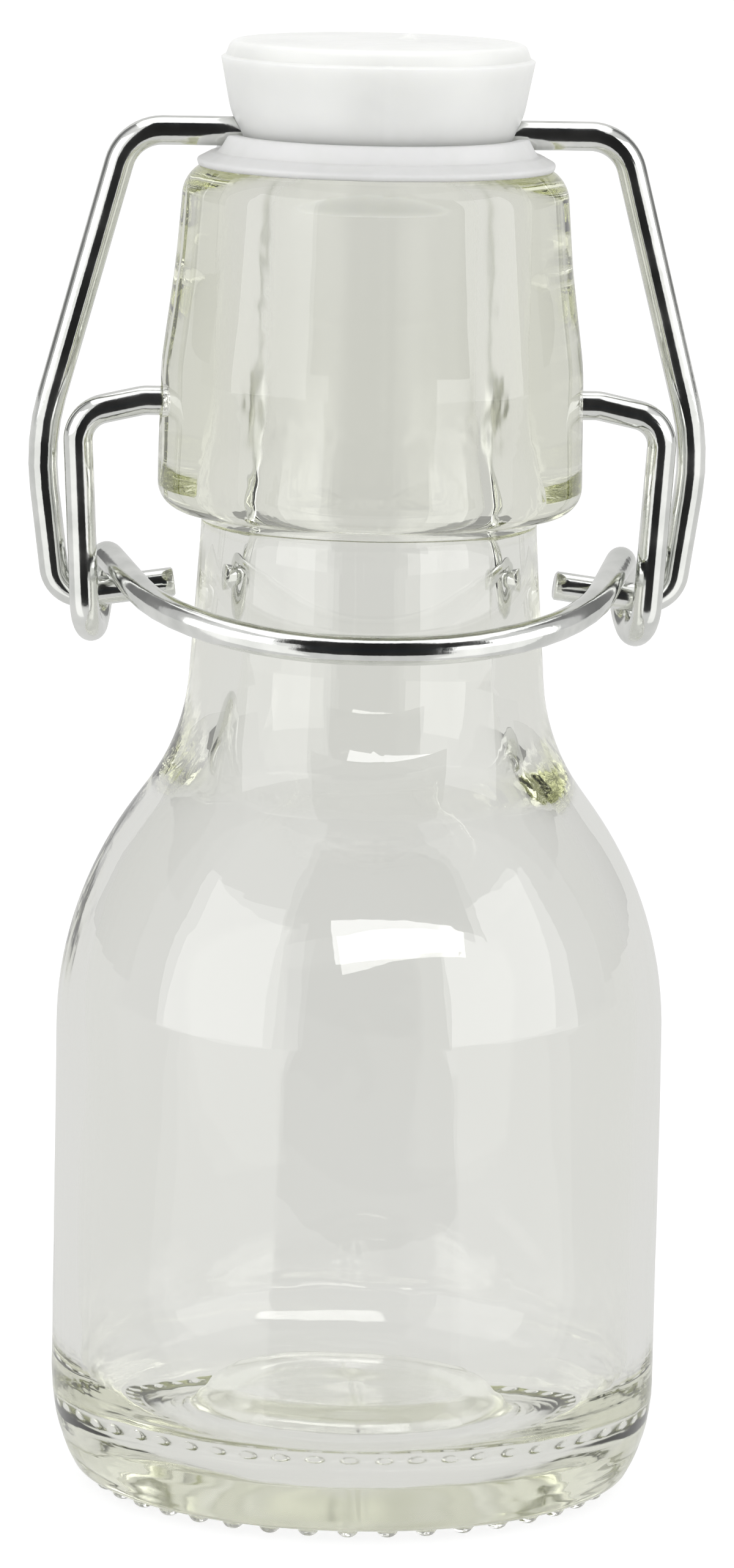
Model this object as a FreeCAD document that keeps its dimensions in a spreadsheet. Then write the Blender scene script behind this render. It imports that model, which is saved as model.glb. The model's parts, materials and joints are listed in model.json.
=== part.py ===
import FreeCAD, Part

import math
import os

import Sketcher

# A small clear-glass swing-top bottle, standing on its bearing ring.
# Millimetres, +Z up, origin at the centre of the base. The two pivots lie on +X and -X,
# and the lever's handle passes in front of the neck, on -Y.

SIZES = {
    # outside of the bottle
    "body_radius": 25.0,
    "ring_inner_radius": 19.6,
    "heel_top": 8.5,
    "heel_radius": 15.0,
    "heel_corner_radius": 1.15,
    "push_up_height": 5.2,
    "push_up_edge_radius": 16.0,
    "push_up_edge_height": 1.4,
    "shoulder_start": 38.0,
    "shoulder_radius": 31.0,
    "shoulder_slope": 36.0,
    "shoulder_run": 1.77,
    "neck_curve_radius": 17.0,
    "neck_taper": 3.6,
    "collar_bottom": 80.7,
    "collar_radius": 17.35,
    "collar_corner_radius": 2.6,
    "collar_break_height": 92.6,
    "collar_break_radius": 17.2,
    "collar_waist_height": 100.8,
    "collar_waist_radius": 16.18,
    "collar_top_radius": 15.74,
    "lip_top": 109.2,
    "lip_radius": 2.9,
    # inside of the bottle
    "wall": 2.2,
    "floor_height": 4.3,
    "floor_corner_radius": 7.0,
    "hump_top": 9.2,
    "hump_edge_radius": 11.6,
    "hump_edge_height": 8.0,
    "hump_foot_radius": 13.9,
    "inner_shoulder_slope": 44.0,
    "neck_bore_radius": 10.2,
    "neck_bore_top": 77.5,
    "mouth_bore_radius": 8.45,
    "mouth_bore_bottom": 88.0,
    "mouth_edge_radius": 1.5,
    # swing-top wires
    "wire_diameter": 2.4,
    "pin_height": 89.6,
    "pin_end": 14.3,
    "pin_clearance": 0.08,
    "dimple_end": 14.0,
    "pin_bend": 18.6,
    "lever_corner_x": 24.0,
    "lever_corner_height": 88.4,
    "lever_corner_radius": 2.6,
    "eye_height": 73.3,
    "eye_offset": 4.3,
    "eye_radius": 2.9,
    "eye_front_x": 23.1,
    "eye_under_x": 22.4,
    "eye_rear_x": 21.95,
    "eye_upper_x": 21.6,
    "eye_top_x": 21.4,
    "handle_reach": 16.5,
    "handle_height": 71.6,
    "handle_corner_x": 15.2,
    "handle_radius": 18.6,
    "stub_end": 15.7,
    "stub_slope": 8.0,
    "bail_foot_x": 25.3,
    "bail_foot_radius": 2.4,
    "bail_knee_x": 27.0,
    "bail_knee_height": 85.9,
    "bail_knee_radius": 20.0,
    "bail_top_x": 20.15,
    "bail_top_radius": 3.6,
    "cross_wire_height": 111.6,
    # stopper
    "stem_bottom": 105.3,
    "stem_tip_radius": 6.7,
    "bead_bottom": 106.4,
    "bead_top": 107.5,
    "bead_radius": 7.85,
    "stem_radius": 7.2,
    "head_bottom": 111.05,
    "head_bottom_radius": 10.6,
    "undercut_top": 113.0,
    "undercut_radius": 11.85,
    "head_widest_height": 117.7,
    "head_widest_radius": 12.7,
    "head_step_radius": 12.36,
    "head_edge_height": 118.6,
    "head_edge_radius": 11.95,
    "head_edge_round": 0.75,
    "head_top": 119.5,
    # seal
    "seal_bore_radius": 7.25,
    "seal_top": 111.0,
    "seal_top_radius": 12.7,
    "seal_rim_radius": 13.8,
    "seal_rim_height": 109.45,
    "seal_gap": 0.38,
    "seal_bottom": 107.6,
    "seal_notch_clearance": 0.3,
}

# The lever's eye is bent round this many corners, each just under the radius that would join them all.
EYE_CORNERS = ("eye_front_x", "eye_under_x", "eye_rear_x", "eye_upper_x", "eye_top_x")
EYE_BEND = 0.96

document = FreeCAD.newDocument("swing_top_bottle")


def make_sheet():
    """The sheet of driving dimensions, one alias for each."""
    new_sheet = document.addObject("Spreadsheet::Sheet", "Sizes")
    for row, (alias, number) in enumerate(SIZES.items(), start=1):
        new_sheet.set(f"A{row}", alias)
        new_sheet.set(f"B{row}", str(number))
        new_sheet.setAlias(f"B{row}", alias)
    document.recompute()
    return new_sheet


sheet = make_sheet()


def cell(alias):
    """A cell's name as other objects' expressions write it."""
    return f"Sizes.{alias}"


def number(expression):
    """The plain number that an expression of cells comes to."""
    return float(sheet.evalExpression(str(expression)))


# ---------------------------------------------------------------- sketches

def origin_plane(body, role):
    return next(item for item in body.Origin.OriginFeatures if item.Role == role)


def new_body(label):
    body = document.addObject("PartDesign::Body", label)
    body.Label = label
    return body


def new_sketch(body, name, role, offset=None):
    """A sketch on one of the body's own origin planes, moved along its normal."""
    sketch = body.newObject("Sketcher::SketchObject", name)
    sketch.AttachmentSupport = [(origin_plane(body, role), "")]
    sketch.MapMode = "FlatFace"
    if offset:
        sketch.setExpression("AttachmentOffset.Base.z", offset)
    return sketch


def bind(sketch, kind, *place, expression):
    """A named dimension whose value an expression of cells gives."""
    index = sketch.addConstraint(Sketcher.Constraint(kind, *place, number(expression)))
    sketch.renameConstraint(index, f"{kind}_{index}")
    sketch.setExpression(f"Constraints.{kind}_{index}", str(expression))


def pin_point(sketch, edge, end, point):
    """Fix one end of an edge at a point given as two expressions."""
    for kind, axis, expression in zip(("DistanceX", "DistanceY"), (-2, -1), point):
        if str(expression) == "0":
            sketch.addConstraint(Sketcher.Constraint("PointOnObject", edge, end, axis))
        else:
            bind(sketch, kind, -1, 1, edge, end, expression=expression)


def arc_between(first, last, radius, turn):
    """The arc from first to last; turn is 1 to the left along the way, -1 to the right."""
    chord = last - first
    rise = math.sqrt(max(radius ** 2 - (chord.Length / 2) ** 2, 0))
    left = FreeCAD.Vector(-chord.y, chord.x, 0).normalize()
    centre = (first + last) * 0.5 + left * rise * turn
    start, end = (first, last) if turn > 0 else (last, first)
    start_angle = math.atan2(start.y - centre.y, start.x - centre.x)
    end_angle = math.atan2(end.y - centre.y, end.x - centre.x)
    circle = Part.Circle(centre, FreeCAD.Vector(0, 0, 1), radius)
    return Part.ArcOfCircle(circle, start_angle, end_angle)


def draw_outline(sketch, corners):
    """A closed outline. A corner is (x, y) after a line, or (x, y, radius, turn) after an arc."""
    points = [FreeCAD.Vector(number(c[0]), number(c[1]), 0) for c in corners]
    ends = []
    for index, corner in enumerate(corners):
        first, last = points[index - 1], points[index]
        if len(corner) == 2:
            edge = sketch.addGeometry(Part.LineSegment(first, last), False)
            ends.append((edge, 1, 2))
            continue
        radius, turn = corner[2:]
        edge = sketch.addGeometry(arc_between(first, last, number(radius), turn), False)
        ends.append((edge, 1, 2) if turn > 0 else (edge, 2, 1))
        bind(sketch, "Radius", edge, expression=radius)
    for index, (edge, start, _) in enumerate(ends):
        before, _, finish = ends[index - 1]
        sketch.addConstraint(Sketcher.Constraint("Coincident", before, finish, edge, start))
    for (edge, _, finish), corner in zip(ends, corners):
        pin_point(sketch, edge, finish, corner[:2])


def revolve(body, sketch, kind, name):
    feature = body.newObject(f"PartDesign::{kind}", name)
    feature.Profile = sketch
    feature.ReferenceAxis = (sketch, ["V_Axis"])
    feature.Angle = 360
    document.recompute()
    return feature


def cut_through(body, sketch, name, both_ways):
    """A pocket through everything on the sketch's +X side, or on both sides."""
    before = body.Shape.Volume
    pocket = body.newObject("PartDesign::Pocket", name)
    pocket.Profile = sketch
    pocket.Type = "ThroughAll"
    pocket.Midplane = both_ways
    pocket.Reversed = not both_ways
    document.recompute()
    if body.Shape.Volume >= before - 0.01:
        raise RuntimeError(f"{name} cuts nothing")
    return pocket


def draw_wire_hole(sketch, height, clearance):
    """A round hole for the wire, on the axis x = 0 of the sketch."""
    radius = f"{cell('wire_diameter')} / 2 + {clearance}"
    centre = FreeCAD.Vector(0, number(height), 0)
    circle = Part.Circle(centre, FreeCAD.Vector(0, 0, 1), number(radius))
    edge = sketch.addGeometry(circle, False)
    sketch.addConstraint(Sketcher.Constraint("PointOnObject", edge, 3, -2))
    bind(sketch, "DistanceY", -1, 1, edge, 3, expression=height)
    bind(sketch, "Radius", edge, expression=radius)


# ---------------------------------------------------------------- bottle

def dome_radius(reach, rise):
    """Radius of a dome that is level on the axis and falls by rise at reach."""
    return f"(({reach}) ^ 2 + {rise} ^ 2) / (2 * {rise})"


def bottle_outside():
    """Outline of the solid bottle, from the middle of the push-up out and up to the mouth."""
    heel_centre = f"({cell('body_radius')} - {cell('heel_radius')})"
    heel_reach = f"({cell('heel_radius')} - {cell('heel_corner_radius')})"
    heel_rise = f"({cell('heel_top')} - {cell('heel_corner_radius')})"
    ring_r = f"({heel_centre} + sqrt({heel_reach} ^ 2 - {heel_rise} ^ 2))"
    foot_r = f"({heel_centre} + ({ring_r} - {heel_centre}) * {cell('heel_radius')} / {heel_reach})"
    foot_z = f"({cell('heel_top')} - {heel_rise} * {cell('heel_radius')} / {heel_reach})"
    shoulder_cos = f"cos({cell('shoulder_slope')})"
    shoulder_sin = f"sin({cell('shoulder_slope')})"
    shoulder_r = f"({cell('body_radius')} - {cell('shoulder_radius')} * (1 - {shoulder_cos}))"
    shoulder_z = f"({cell('shoulder_start')} + {cell('shoulder_radius')} * {shoulder_sin})"
    run_r = f"({shoulder_r} - {cell('shoulder_run')} * tan({cell('shoulder_slope')}))"
    run_z = f"({shoulder_z} + {cell('shoulder_run')})"
    taper = cell("neck_taper")
    neck_r = f"({run_r} - {cell('neck_curve_radius')} * (cos({taper}) - {shoulder_cos}))"
    neck_z = f"({run_z} + {cell('neck_curve_radius')} * ({shoulder_sin} - sin({taper})))"
    neck_top_r = f"({neck_r} - ({cell('collar_bottom')} - {neck_z}) * tan({taper}))"
    dome_rise = f"({cell('push_up_height')} - {cell('push_up_edge_height')})"
    dome = dome_radius(cell("push_up_edge_radius"), dome_rise)
    corner = cell("collar_corner_radius")
    lip_z = f"({cell('lip_top')} - {cell('lip_radius')})"
    lip_r = f"({cell('collar_top_radius')} - {cell('lip_radius')})"
    return [
        ("0", cell("push_up_height")),
        (cell("push_up_edge_radius"), cell("push_up_edge_height"), dome, -1),
        (cell("ring_inner_radius"), "0"),
        (ring_r, "0"),
        (foot_r, foot_z, cell("heel_corner_radius"), 1),
        (cell("body_radius"), cell("heel_top"), cell("heel_radius"), 1),
        (cell("body_radius"), cell("shoulder_start")),
        (shoulder_r, shoulder_z, cell("shoulder_radius"), 1),
        (run_r, run_z),
        (neck_r, neck_z, cell("neck_curve_radius"), -1),
        (neck_top_r, cell("collar_bottom")),
        (f"{cell('collar_radius')} - {corner}", cell("collar_bottom")),
        (cell("collar_radius"), f"{cell('collar_bottom')} + {corner}", corner, 1),
        (cell("collar_break_radius"), cell("collar_break_height")),
        (cell("collar_waist_radius"), cell("collar_waist_height")),
        (cell("collar_top_radius"), lip_z),
        (lip_r, cell("lip_top"), cell("lip_radius"), 1),
        ("0", cell("lip_top")),
    ]


def bottle_inside():
    """Outline of the cavity, from the middle of the floor out and up through the mouth."""
    slope = cell("inner_shoulder_slope")
    inner_r = f"({cell('body_radius')} - {cell('wall')})"
    arc_radius = f"({cell('shoulder_radius')} - {cell('wall')})"
    shoulder_r = f"({inner_r} - {arc_radius} * (1 - cos({slope})))"
    shoulder_z = f"({cell('shoulder_start')} + {arc_radius} * sin({slope}))"
    flare = f"(({shoulder_r} - {cell('neck_bore_radius')}) / (1 - cos({slope})))"
    flare_z = f"({shoulder_z} + {flare} * sin({slope}))"
    corner = cell("floor_corner_radius")
    dome_rise = f"({cell('hump_top')} - {cell('hump_edge_height')})"
    dome = dome_radius(cell("hump_edge_radius"), dome_rise)
    edge = cell("mouth_edge_radius")
    return [
        ("0", cell("hump_top")),
        (cell("hump_edge_radius"), cell("hump_edge_height"), dome, -1),
        (cell("hump_foot_radius"), cell("floor_height")),
        (f"{inner_r} - {corner}", cell("floor_height")),
        (inner_r, f"{cell('floor_height')} + {corner}", corner, 1),
        (inner_r, cell("shoulder_start")),
        (shoulder_r, shoulder_z, arc_radius, 1),
        (cell("neck_bore_radius"), flare_z, flare, -1),
        (cell("neck_bore_radius"), cell("neck_bore_top")),
        (cell("mouth_bore_radius"), cell("mouth_bore_bottom")),
        (cell("mouth_bore_radius"), f"{cell('lip_top')} - {edge}"),
        (f"{cell('mouth_bore_radius')} + {edge}", cell("lip_top"), edge, -1),
        ("0", cell("lip_top")),
    ]


def make_bottle():
    body = new_body("glass_bottle")
    outside = new_sketch(body, "bottle_outline", "YZ_Plane")
    draw_outline(outside, bottle_outside())
    revolve(body, outside, "Revolution", "bottle_blank")
    full = body.Shape.Volume
    inside = new_sketch(body, "cavity_outline", "YZ_Plane")
    draw_outline(inside, bottle_inside())
    revolve(body, inside, "Groove", "cavity")
    print("capacity to the brim, ml:", round((full - body.Shape.Volume) / 1000, 1))
    dimple = new_sketch(body, "dimple_circle", "YZ_Plane", cell("dimple_end"))
    draw_wire_hole(dimple, cell("pin_height"), cell("pin_clearance"))
    pocket = cut_through(body, dimple, "pivot_dimple", both_ways=False)
    mirrored = body.newObject("PartDesign::Mirrored", "pivot_dimples")
    mirrored.Originals = [pocket]
    mirrored.MirrorPlane = (origin_plane(body, "YZ_Plane"), [""])
    body.Tip = mirrored
    document.recompute()
    return body


# ---------------------------------------------------------------- stopper and seal

def stopper_outline():
    """From the tip of the stem out and up, round the head to its domed top."""
    edge = cell("head_edge_round")
    return [
        ("0", cell("stem_bottom")),
        (cell("stem_tip_radius"), cell("stem_bottom")),
        (cell("bead_radius"), cell("bead_bottom")),
        (cell("bead_radius"), cell("bead_top")),
        (cell("stem_radius"), cell("bead_top")),
        (cell("stem_radius"), cell("head_bottom")),
        (cell("head_bottom_radius"), cell("head_bottom")),
        (cell("undercut_radius"), cell("undercut_top")),
        (cell("head_widest_radius"), cell("head_widest_height")),
        (cell("head_step_radius"), cell("head_widest_height")),
        (cell("head_edge_radius"), cell("head_edge_height")),
        (f"{cell('head_edge_radius')} - {edge}", f"{cell('head_edge_height')} + {edge}", edge, 1),
        ("0", cell("head_top")),
    ]


def make_stopper():
    body = new_body("stopper")
    outline = new_sketch(body, "stopper_outline", "YZ_Plane")
    draw_outline(outline, stopper_outline())
    revolve(body, outline, "Revolution", "stopper_blank")
    hole = new_sketch(body, "wire_hole_circle", "YZ_Plane")
    draw_wire_hole(hole, cell("cross_wire_height"), cell("pin_clearance"))
    cut_through(body, hole, "wire_hole", both_ways=True)
    return body


def seal_outline():
    """From the bore's lower edge out round the mouth's edge, over the lip and up to the flat top."""
    edge = cell("mouth_edge_radius")
    gap = cell("seal_gap")
    plug_r = f"({cell('mouth_bore_radius')} - {gap})"
    seat_z = f"({cell('lip_top')} + {gap})"
    return [
        (cell("seal_bore_radius"), cell("seal_bottom")),
        (plug_r, cell("seal_bottom")),
        (plug_r, f"{cell('lip_top')} - {edge}"),
        (f"{cell('mouth_bore_radius')} + {edge}", seat_z, f"{edge} + {gap}", -1),
        (f"{cell('seal_rim_radius')} - 1", seat_z),
        (cell("seal_rim_radius"), cell("seal_rim_height")),
        (cell("seal_top_radius"), cell("seal_top")),
        (cell("seal_bore_radius"), cell("seal_top")),
    ]


def make_seal():
    body = new_body("seal_ring")
    outline = new_sketch(body, "seal_outline", "YZ_Plane")
    draw_outline(outline, seal_outline())
    revolve(body, outline, "Revolution", "seal_blank")
    half = f"{cell('wire_diameter')} / 2 + {cell('seal_notch_clearance')}"
    floor = f"{cell('cross_wire_height')} - {cell('wire_diameter')} / 2 - {cell('seal_notch_clearance')}"
    notch = new_sketch(body, "notch_outline", "YZ_Plane")
    draw_outline(notch, [
        (f"-({half})", floor),
        (half, floor),
        (half, f"{cell('seal_top')} + 1"),
        (f"-({half})", f"{cell('seal_top')} + 1"),
    ])
    cut_through(body, notch, "wire_notch", both_ways=True)
    return body


# ---------------------------------------------------------------- wires

def rounded_path(route):
    """One wire of straight runs joined by tangent arcs. A route point is (position, radius)."""
    edges = []
    last = route[0][0]
    for (before, _), (corner, radius), (after, _) in zip(route, route[1:], route[2:]):
        back = (before - corner).normalize()
        ahead = (after - corner).normalize()
        half_turn = (math.pi - back.getAngle(ahead)) / 2
        start = corner + back * radius * math.tan(half_turn)
        end = corner + ahead * radius * math.tan(half_turn)
        middle = corner + (back + ahead).normalize() * radius * (1 / math.cos(half_turn) - 1)
        edges.append(Part.LineSegment(last, start).toShape())
        edges.append(Part.Arc(start, middle, end).toShape())
        last = end
    edges.append(Part.LineSegment(last, route[-1][0]).toShape())
    return Part.Wire(edges)


def mirrored_route(half):
    """A route that crosses the middle plane, from its +X half."""
    return half + [(FreeCAD.Vector(-at.x, at.y, at.z), radius) for at, radius in reversed(half)]


def make_wire(label, half):
    """Round wire swept along a symmetric route."""
    route = mirrored_route(half)
    spine = document.addObject("Part::Feature", f"{label}_route")
    spine.Shape = rounded_path(route)
    section = document.addObject("Part::Circle", f"{label}_section")
    section.setExpression("Radius", f"{cell('wire_diameter')} / 2")
    first = route[0][0]
    ahead = (route[1][0] - first).normalize()
    section.Placement = FreeCAD.Placement(first, FreeCAD.Rotation(FreeCAD.Vector(0, 0, 1), ahead))
    sweep = document.addObject("Part::Sweep", label)
    sweep.Label = label
    sweep.Sections = [section]
    sweep.Spine = (spine, [])
    sweep.Solid = True
    document.recompute()
    area = math.pi * (number(cell("wire_diameter")) / 2) ** 2
    print(label, "volume / (section x length):", sweep.Shape.Volume / (area * spine.Shape.Length))
    return sweep


def bail_half():
    """From the cut end of the stub, out through the lever's eye, up the leg, to the cross wire."""
    eye_x = number(cell("eye_rear_x"))
    slope = math.tan(math.radians(number(cell("stub_slope"))))
    eye_z = number(cell("eye_height"))
    top_z = number(cell("cross_wire_height"))
    lean = number(cell("eye_offset")) / (top_z - eye_z)

    def on_bail(x, z):
        return FreeCAD.Vector(x, (top_z - z) * lean, z)

    def on_stub(x):
        return on_bail(x, eye_z + (eye_x - x) * slope)

    knee = on_bail(number(cell("bail_knee_x")), number(cell("bail_knee_height")))
    top = on_bail(number(cell("bail_top_x")), top_z)
    return [
        (on_stub(number(cell("stub_end"))), None),
        (on_stub(number(cell("bail_foot_x"))), number(cell("bail_foot_radius"))),
        (knee, number(cell("bail_knee_radius"))),
        (top, number(cell("bail_top_radius"))),
    ]


def lever_half():
    """From the pivot pin down the leg, once round the eye, and forward to the handle."""
    corner_x = number(cell("lever_corner_x"))
    corner_z = number(cell("lever_corner_height"))
    bend_radius = number(cell("lever_corner_radius"))
    pin_z = number(cell("pin_height"))
    handle_y = -number(cell("handle_reach"))
    handle_z = number(cell("handle_height"))
    half = [
        (FreeCAD.Vector(number(cell("pin_end")), 0, pin_z), None),
        (FreeCAD.Vector(number(cell("pin_bend")), 0, pin_z), bend_radius),
        (FreeCAD.Vector(corner_x, 0, corner_z), bend_radius),
    ]
    half += eye_route(corner_z, handle_y, handle_z)
    handle = FreeCAD.Vector(number(cell("handle_corner_x")), handle_y, handle_z)
    half.append((handle, number(cell("handle_radius"))))
    return half


def eye_route(leg_z, handle_y, handle_z):
    """Corners round the eye, which lies behind the pins: front, under, rear, over the top."""
    eye_y = number(cell("eye_offset"))
    eye_z = number(cell("eye_height"))
    radius = number(cell("eye_radius"))
    # The turn is measured from the front of the eye, down and round to the rear and the top.
    leg_length = math.hypot(eye_y, leg_z - eye_z)
    first_turn = math.atan2(eye_y, leg_z - eye_z) - math.asin(radius / leg_length)
    last_turn = math.radians(270) + math.atan2(eye_z + radius - handle_z, eye_y - handle_y)
    step = (last_turn - first_turn) / len(EYE_CORNERS)
    outer = radius / math.cos(step / 2)
    route = []
    for index, place in enumerate(EYE_CORNERS):
        turn = first_turn + (index + 0.5) * step
        y = eye_y - outer * math.cos(turn)
        z = eye_z - outer * math.sin(turn)
        route.append((FreeCAD.Vector(number(cell(place)), y, z), EYE_BEND * radius))
    return route


# ---------------------------------------------------------------- checks and files

def check_document(parts):
    for item in document.Objects:
        if "Invalid" in item.State or "Error" in item.State:
            raise RuntimeError(f"{item.Label} failed: {item.State}")
    for part in parts:
        shape = part.Shape
        if shape.isNull() or not shape.isValid() or len(shape.Solids) != 1:
            raise RuntimeError(f"{part.Label} isn't one valid solid")


def main():
    parts = [
        make_bottle(),
        make_stopper(),
        make_seal(),
        make_wire("bail_wire", bail_half()),
        make_wire("lever_wire", lever_half()),
    ]
    document.recompute()
    check_document(parts)
    os.makedirs("parts", exist_ok=True)
    for part in parts:
        box = part.Shape.BoundBox
        print(part.Label, "volume", round(part.Shape.Volume, 1), "box", box)
        part.Shape.exportStep(f"parts/{part.Label}.step")


main()
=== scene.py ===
import json
import math

import bmesh
import bpy
import numpy as np
from mathutils import Matrix, Vector, noise


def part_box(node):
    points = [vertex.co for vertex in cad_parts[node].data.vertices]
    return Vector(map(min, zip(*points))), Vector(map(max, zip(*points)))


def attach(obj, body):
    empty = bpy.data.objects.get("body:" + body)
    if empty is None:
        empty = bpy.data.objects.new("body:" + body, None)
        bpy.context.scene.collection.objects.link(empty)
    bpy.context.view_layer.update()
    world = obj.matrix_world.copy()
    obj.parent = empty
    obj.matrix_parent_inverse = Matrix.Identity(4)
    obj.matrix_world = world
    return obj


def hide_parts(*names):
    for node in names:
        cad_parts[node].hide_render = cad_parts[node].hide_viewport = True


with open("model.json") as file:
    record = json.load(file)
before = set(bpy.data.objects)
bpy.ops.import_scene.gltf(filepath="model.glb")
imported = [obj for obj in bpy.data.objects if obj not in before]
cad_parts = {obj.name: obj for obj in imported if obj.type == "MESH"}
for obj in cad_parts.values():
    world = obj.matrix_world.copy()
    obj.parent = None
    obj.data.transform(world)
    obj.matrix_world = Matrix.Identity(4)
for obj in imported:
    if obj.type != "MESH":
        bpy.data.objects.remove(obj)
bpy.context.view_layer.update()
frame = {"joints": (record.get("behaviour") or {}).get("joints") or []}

MM = 0.001
TAU = 2 * math.pi

# Heights and radii that the frame gives, in millimetres.
JOINTS = {joint["name"]: joint for joint in frame["joints"]}
PIN_Z = JOINTS["lever_swing"]["pos_m"][2] / MM
EYE_Y = JOINTS["bail_swing"]["pos_m"][1] / MM
EYE_Z = JOINTS["bail_swing"]["pos_m"][2] / MM
CROSS_Z = JOINTS["stopper_tilt"]["pos_m"][2] / MM
BODY_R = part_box("glass_bottle")[1][0] / MM
LIP_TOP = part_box("glass_bottle")[1][2] / MM
HEAD_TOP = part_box("stopper")[1][2] / MM
STEM_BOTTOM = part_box("stopper")[0][2] / MM
SEAL_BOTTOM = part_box("seal_ring")[0][2] / MM
SEAL_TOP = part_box("seal_ring")[1][2] / MM
WIRE_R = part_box("bail_wire")[1][2] / MM - CROSS_Z


# ---------------------------------------------------------------- mesh helpers

def smooth_step(low, high, value):
    """0 below low, 1 above high, smooth between; low may be the larger one."""
    part = np.clip((value - low) / (high - low), 0.0, 1.0)
    return part * part * (3 - 2 * part)


def noise_field(points, scale, seed):
    """Smooth noise of about -1 to 1 at each point, with features about scale long."""
    shift = Vector((seed * 7.31, seed * 3.17, seed * 5.71))
    flat = points.reshape(-1, 3) / scale
    values = [noise.noise(Vector(point) + shift) for point in flat]
    return np.array(values).reshape(points.shape[:-1])


def arc_points(first, last, radius, turn, step):
    """Points after first up to last on the arc; turn is 1 to the left of the way, -1 to the right."""
    first, last = np.array(first, float), np.array(last, float)
    chord = last - first
    length = np.hypot(*chord)
    rise = math.sqrt(max(radius * radius - length * length / 4, 0))
    left = np.array([-chord[1], chord[0]]) / length
    centre = (first + last) / 2 + left * rise * turn
    start = math.atan2(*(first - centre)[::-1])
    sweep = turn * 2 * math.asin(min(length / (2 * radius), 1))
    count = max(2, math.ceil(abs(sweep) * radius / step), math.ceil(abs(sweep) / math.radians(9)))
    angles = start + sweep * np.arange(1, count + 1) / count
    return np.stack([centre[0] + radius * np.cos(angles), centre[1] + radius * np.sin(angles)], axis=1)


def outline(corners, step):
    """Evenly sampled profile. A corner is (r, z) after a line, or (r, z, radius, turn) after an arc."""
    points = [np.array([corners[0][:2]], float)]
    for corner in corners[1:]:
        last = points[-1][-1]
        if len(corner) == 4:
            points.append(arc_points(last, corner[:2], corner[2], corner[3], step))
            continue
        count = max(1, math.ceil(math.dist(last, corner[:2]) / step))
        along = np.arange(1, count + 1)[:, None] / count
        points.append(last + (np.array(corner[:2], float) - last) * along)
    return np.concatenate(points)


def rounded(corners, radii):
    """Corner list with an arc of the given radius at each inner corner that has one."""
    result = [corners[0]]
    for before, corner, after, radius in zip(corners, corners[1:], corners[2:], radii[1:]):
        if not radius:
            result.append(corner)
            continue
        back = np.array(before[:2]) - corner[:2]
        ahead = np.array(after[:2]) - corner[:2]
        back, ahead = back / np.hypot(*back), ahead / np.hypot(*ahead)
        half_turn = (math.pi - math.acos(np.clip(back @ ahead, -1, 1))) / 2
        reach = radius * math.tan(half_turn)
        turn = 1 if back[0] * ahead[1] - back[1] * ahead[0] < 0 else -1
        start = np.array(corner[:2]) + back * reach
        end = np.array(corner[:2]) + ahead * reach
        result += [tuple(start), (*end, radius, turn)]
    result.append(corners[-1])
    return result


def profile_normals(profile):
    """Unit normals on the right of the way along the profile: outwards, where glass is on the left."""
    ahead = np.gradient(profile, axis=0)
    normals = np.stack([ahead[:, 1], -ahead[:, 0]], axis=1)
    return normals / np.maximum(np.hypot(*normals.T), 1e-9)[:, None]


def mesh_object(name, vertices, faces, material):
    """A smooth-shaded object from vertices in millimetres."""
    mesh = bpy.data.meshes.new(name)
    mesh.from_pydata((np.array(vertices) * MM).tolist(), [], faces)
    mesh.validate()
    mesh.shade_smooth()
    mesh.materials.append(material)
    piece = bpy.data.objects.new(name, mesh)
    bpy.context.scene.collection.objects.link(piece)
    return piece


def grid_faces(rows, columns, close_rows):
    """Quads of a grid whose columns wrap round, and whose rows do too where close_rows says so."""
    faces = []
    for row in range(rows if close_rows else rows - 1):
        low, high = row * columns, (row + 1) % rows * columns
        for column in range(columns):
            after = (column + 1) % columns
            faces.append((low + column, low + after, high + after, high + column))
    return faces


def revolved(name, radius, height, angles, material, closed=False):
    """A turned piece from radius and height grids, rows by angles; open ones are capped at the axis."""
    rows, columns = radius.shape
    grid = np.stack([radius * np.cos(angles), radius * np.sin(angles), height], axis=-1)
    vertices = grid.reshape(-1, 3).tolist()
    faces = grid_faces(rows, columns, closed)
    if not closed:
        first, last = len(vertices), len(vertices) + 1
        vertices += [[0, 0, float(height[0].mean())], [0, 0, float(height[-1].mean())]]
        top = (rows - 1) * columns
        for column in range(columns):
            after = (column + 1) % columns
            faces.append((first, after, column))
            faces.append((last, top + column, top + after))
    return mesh_object(name, vertices, faces, material)


def turned(profile, angles):
    """A profile turned about Z: its normals, and its radius, height and point grids by row and angle."""
    radius = np.repeat(profile[:, :1], len(angles), axis=1)
    height = np.repeat(profile[:, 1:], len(angles), axis=1)
    place = np.stack([radius * np.cos(angles), radius * np.sin(angles), height], axis=-1)
    return profile_normals(profile), radius, height, place


def seam_distance(radius, angles):
    """Distance round a piece from its two mould seams, a quarter turn from the pivots."""
    side = np.abs(np.abs(np.mod(angles, TAU) - math.pi) - math.pi / 2)
    return side[None, :] * radius


def straight_points(first, last, step):
    """Points after first up to last, at most a step apart."""
    count = max(1, math.ceil(np.linalg.norm(last - first) / step))
    return [first + (last - first) * index / count for index in range(1, count + 1)]


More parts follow.
